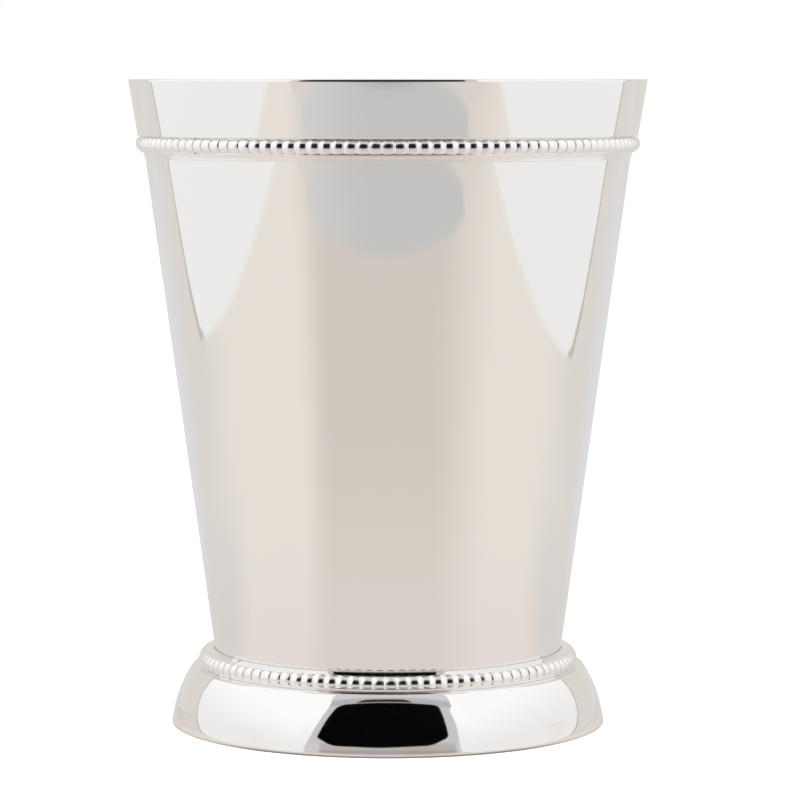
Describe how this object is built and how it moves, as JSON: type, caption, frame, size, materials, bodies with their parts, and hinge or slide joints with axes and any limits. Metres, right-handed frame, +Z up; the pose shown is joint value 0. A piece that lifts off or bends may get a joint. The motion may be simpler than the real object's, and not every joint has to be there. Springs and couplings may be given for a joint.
{
  "type": "julep cup",
  "caption": "Footed conical julep cup of polished plated sheet metal, with a beaded strip under the lip and another round the joint of its flared hollow foot.",
  "frame": {"origin": "centre of the circle that the foot stands on, at the cup's lowest height", "axes": "+Z up along the cup's axis; -Y is the side that faces the picture's viewer; +X is the viewer's right"},
  "size_m": [0.0864, 0.0864, 0.108],
  "materials": {
    "bright_plate": "polished",
    "plated_solder": "polished"
  },
  "bodies": {
    "root": {"cup_body": "bright_plate", "rim_bead_strip": "bright_plate", "rim_strip_solder": "plated_solder", "foot_skirt": "bright_plate", "foot_bead_strip": "bright_plate", "foot_strip_solder": "plated_solder", "foot_joint_solder": "plated_solder"}
  },
  "joints": []
}
